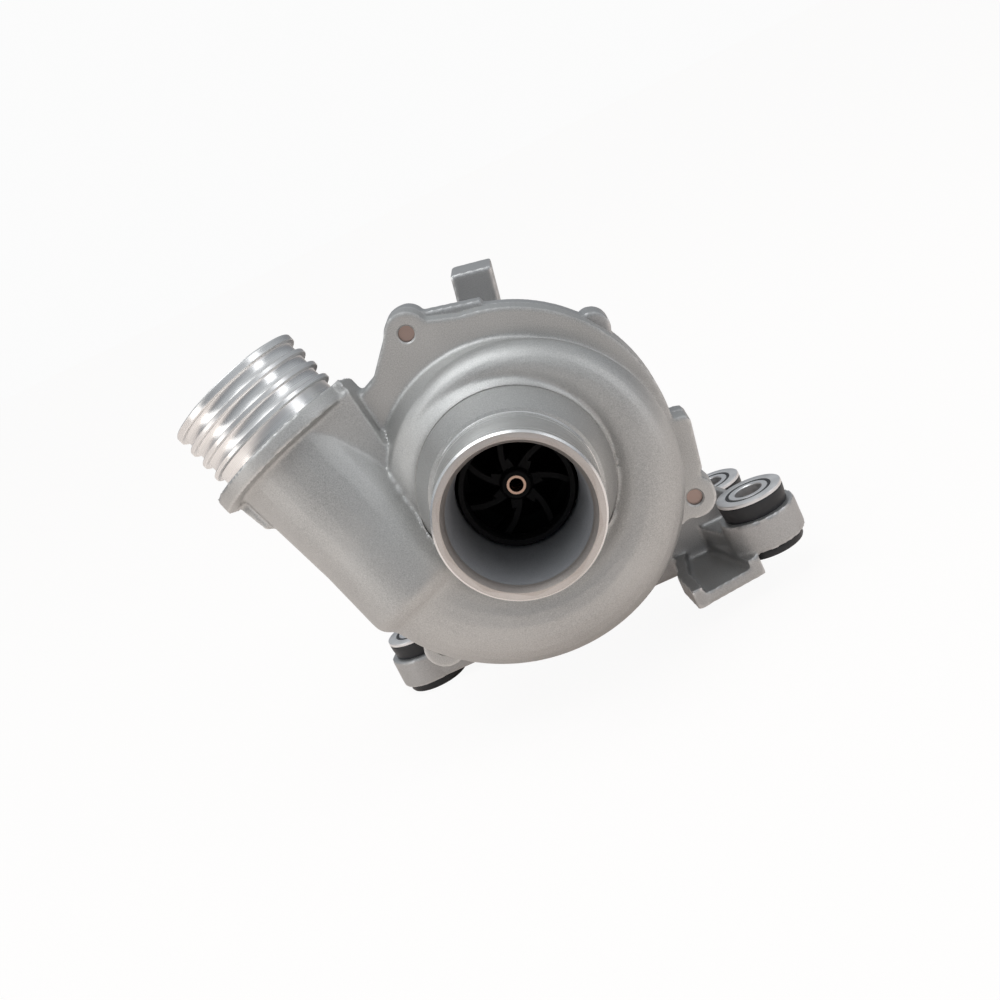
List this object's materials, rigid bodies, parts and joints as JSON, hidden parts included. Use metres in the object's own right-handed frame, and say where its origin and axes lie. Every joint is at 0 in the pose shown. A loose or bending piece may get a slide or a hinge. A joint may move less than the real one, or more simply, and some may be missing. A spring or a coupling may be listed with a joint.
{
  "type": "electric coolant pump",
  "caption": "Electric coolant pump with a cast volute, smooth axial inlet neck, ribbed side outlet neck, rubber-bushed mounting eyes and a finned electronics cover.",
  "frame": {"origin": "centre of the inlet neck's mouth, on the shaft axis", "axes": "+Y along the shaft from the inlet mouth to the rear cover, +Z along the mounting bolts towards their heads, +X to the right seen from the inlet"},
  "size_m": [0.1648, 0.172, 0.1421],
  "materials": {
    "cast_volute": "fine-grained die casting, machined necks",
    "cast_motor": "fine-grained die casting",
    "cast_cover": "fine-grained die casting",
    "copper_screw": "copper-plated steel thread end",
    "can_plastic": "glass-filled moulding",
    "seal_rubber": "matt",
    "carrier_plastic": "moulded",
    "carbon": "ground carbon",
    "thrust_ceramic": "ground ceramic",
    "lamination": "stacked sheet",
    "insulator_plastic": "moulded",
    "enamelled_copper": "enamelled wire",
    "contact_brass": "plated",
    "impeller_plastic": "moulded",
    "shaft_copper": "turned",
    "magnet": "sintered",
    "sleeve_steel": "turned",
    "bush_rubber": "moulded, satin",
    "washer_aluminium": "fine satin",
    "board_laminate": "varnished",
    "zinc_steel": "zinc plated",
    "capacitor_sleeve": "shrink sleeve",
    "chip_plastic": "moulded",
    "connector_plastic": "glass-filled moulding",
    "silicone_seal": "matt"
  },
  "bodies": {
    "housing": {"volute_housing": "cast_volute", "motor_housing": "cast_motor", "flange_screws": "copper_screw", "separating_can": "can_plastic", "can_seal": "seal_rubber", "bearing_carrier": "carrier_plastic", "front_bearing": "carbon", "rear_bearing": "carbon", "thrust_washer": "thrust_ceramic", "stator_core": "lamination", "front_insulator": "insulator_plastic", "rear_insulator": "insulator_plastic", "stator_windings": "enamelled_copper", "phase_pins": "contact_brass", "bush_rubber_front": "bush_rubber", "bush_rubber_right": "bush_rubber", "bush_rubber_left": "bush_rubber", "bush_sleeve_front": "sleeve_steel", "bush_sleeve_right": "sleeve_steel", "bush_sleeve_left": "sleeve_steel", "bush_washer_front": "washer_aluminium", "bush_washer_right": "washer_aluminium", "bush_washer_left": "washer_aluminium", "circuit_board": "board_laminate", "board_screws": "zinc_steel", "capacitors": "capacitor_sleeve", "power_transistors": "chip_plastic", "choke_coil": "enamelled_copper", "rear_cover_gasket": "seal_rubber", "rear_cover": "cast_cover", "rear_cover_screws": "zinc_steel", "connector_housing": "connector_plastic", "connector_pins": "contact_brass", "connector_seal": "silicone_seal", "vent_plug": "connector_plastic"},
    "rotor": {"impeller": "impeller_plastic", "impeller_shroud": "impeller_plastic", "rotor_shaft": "shaft_copper", "rotor_core": "lamination", "rotor_magnets": "magnet", "rotor_sleeve": "sleeve_steel"}
  },
  "joints": [
    {"name": "rotor_spin", "type": "hinge", "parent": "housing", "child": "rotor", "pos_m": [0, 0.1, 0], "axis": [0, 1, 0], "continuous": true}
  ]
}
